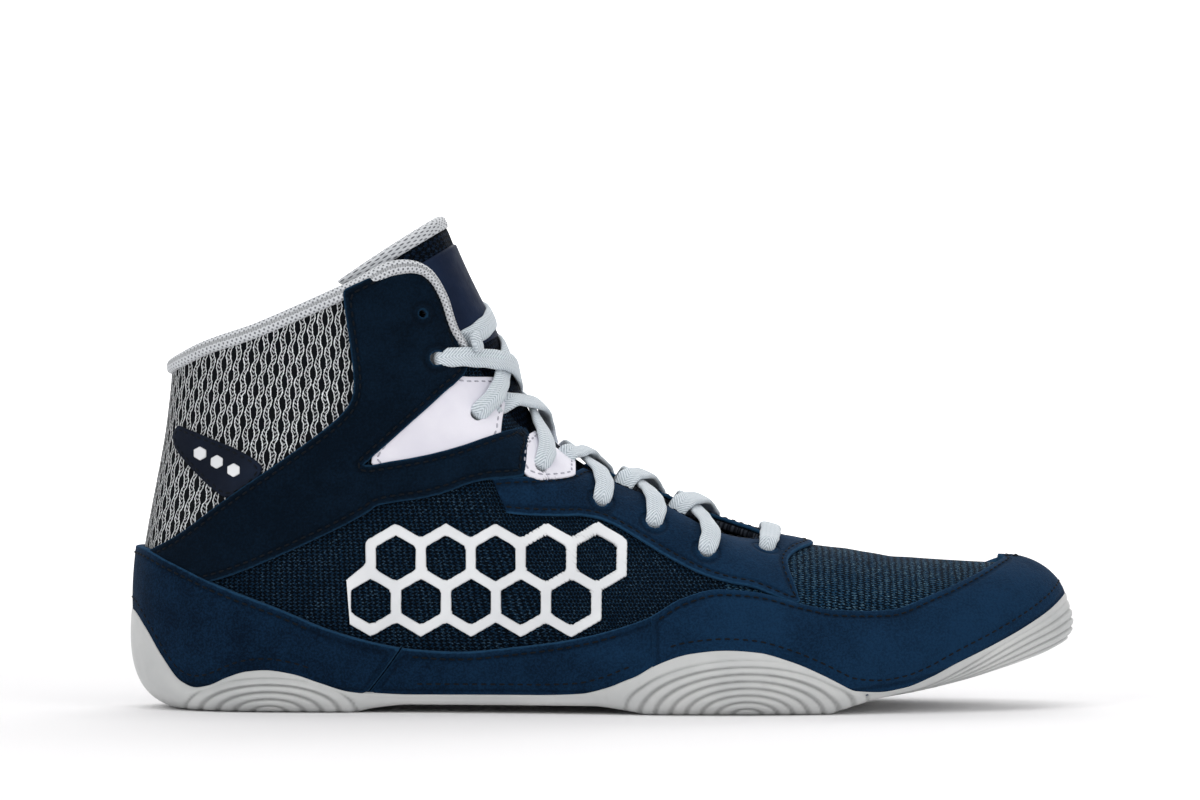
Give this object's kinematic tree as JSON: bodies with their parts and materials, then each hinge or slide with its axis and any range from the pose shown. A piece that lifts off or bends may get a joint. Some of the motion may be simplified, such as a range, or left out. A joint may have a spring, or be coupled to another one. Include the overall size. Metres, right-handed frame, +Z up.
{
  "type": "wrestling shoe",
  "caption": "Right-foot ankle-high laced wrestling shoe with a thin wrapped rubber sole, suede overlays and mesh sides, open at collar and throat.",
  "frame": {"origin": "the middle of the heel's flat spot, on the floor", "axes": "+X from heel to toe, +Y towards the medial side (the inside of the foot), +Z up"},
  "size_m": [0.2847, 0.1027, 0.1483],
  "materials": {
    "rubber": "matt pale grey moulded rubber",
    "lining_fabric": "pale grey lining fabric",
    "side_mesh": "dark navy mesh, with a black and white knit behind the ankle",
    "tongue_fabric": "dark blue-grey padded mesh",
    "binding_knit": "pale grey knitted tape",
    "suede": "navy suede with a soft nap",
    "saddle_suede": "dark navy suede with a soft nap",
    "white_leather": "smooth white synthetic leather",
    "white_film": "thin white film with a leather grain",
    "lace": "pale blue-grey flat woven cord"
  },
  "bodies": {
    "root": {"outsole": "rubber", "insole": "lining_fabric", "upper": "side_mesh", "tongue": "tongue_fabric", "collar_binding": "binding_knit", "rand_heel": "suede", "rand_arch_lateral": "suede", "rand_arch_medial": "suede", "rand_toe": "suede", "saddle_lateral": "saddle_suede", "saddle_medial": "saddle_suede", "eyestay": "suede", "upper_tab_lateral": "white_leather", "upper_tab_medial": "white_leather", "lower_tab_lateral": "white_leather", "lower_tab_medial": "white_leather", "side_lattice_lateral": "white_film", "side_lattice_medial": "white_film", "heel_patch_lateral": "saddle_suede", "heel_patch_medial": "saddle_suede", "lace_bar": "lace", "lace_cross_1": "lace", "lace_cross_2": "lace", "lace_cross_3": "lace", "lace_cross_4": "lace", "lace_cross_5": "lace"}
  },
  "joints": []
}
